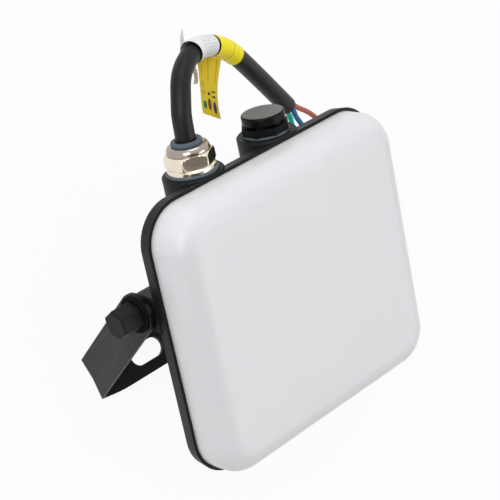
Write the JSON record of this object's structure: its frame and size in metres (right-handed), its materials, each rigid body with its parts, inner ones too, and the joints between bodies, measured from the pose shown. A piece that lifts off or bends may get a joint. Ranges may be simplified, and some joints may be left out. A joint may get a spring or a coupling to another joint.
{
  "type": "led flood light",
  "caption": "Flood light with a pillow-shaped opal front in a shallow die-cast frame, a cable gland and a pressure vent on top, held by a folded strap bracket it tilts in.",
  "frame": {"origin": "Middle of the underside of the bracket's base, midway between the two slots", "axes": "+X along the tilt axis towards the vent side, +Z away from the mounting surface, +Y to the side the arms lean to"},
  "size_m": [0.196, 0.1942, 0.1145],
  "materials": {
    "charcoal_paint": "satin",
    "bracket_paint": "satin",
    "opal_plastic": "matte",
    "black_rubber": "matte",
    "blue_grey_rubber": "matte",
    "board_metal": "satin",
    "chip_yellow": "matte",
    "bare_steel": "satin",
    "driver_black": "matte",
    "terminal_grey": "matte",
    "nickel_plate": "satin",
    "black_plastic": "gloss",
    "membrane_white": "matte",
    "dark_steel": "satin",
    "grey_cap": "satin",
    "cable_jacket": "matte",
    "core_brown": "satin",
    "core_blue": "satin",
    "core_green": "satin",
    "copper": "satin",
    "label_white": "satin",
    "label_yellow": "satin"
  },
  "bodies": {
    "bracket": {"bracket": "bracket_paint"},
    "head": {"housing": "charcoal_paint", "diffuser": "opal_plastic", "diffuser_gasket": "black_rubber", "light_board": "board_metal", "led_chips": "chip_yellow", "board_screws": "bare_steel", "driver": "driver_black", "board_leads": "cable_jacket", "terminal_block": "terminal_grey", "inner_cores": "core_brown", "cover_gasket": "black_rubber", "rear_cover": "charcoal_paint", "cover_screws": "dark_steel", "gland_washer": "blue_grey_rubber", "gland_body": "nickel_plate", "gland_bush": "blue_grey_rubber", "gland_nut": "nickel_plate", "cable_tail": "cable_jacket", "vent_washer": "blue_grey_rubber", "vent_body": "black_plastic", "vent_membrane": "membrane_white", "vent_cap": "black_plastic", "cable": "cable_jacket", "core_brown": "core_brown", "core_blue": "core_blue", "core_green": "core_green", "bare_tips": "copper", "white_label": "label_white", "yellow_label": "label_yellow", "yellow_tag": "label_yellow", "white_tag": "label_white", "friction_washer_left": "black_rubber", "side_washer_left": "black_rubber", "pivot_bolt_left": "dark_steel", "pivot_cap_left": "grey_cap", "friction_washer_right": "black_rubber", "side_washer_right": "black_rubber", "pivot_bolt_right": "dark_steel", "pivot_cap_right": "grey_cap"}
  },
  "joints": [
    {"name": "tilt", "type": "hinge", "parent": "bracket", "child": "head", "pos_m": [0, 0.02248, 0.0661], "axis": [1, 0, 0], "range_deg": [-50, 28]}
  ]
}
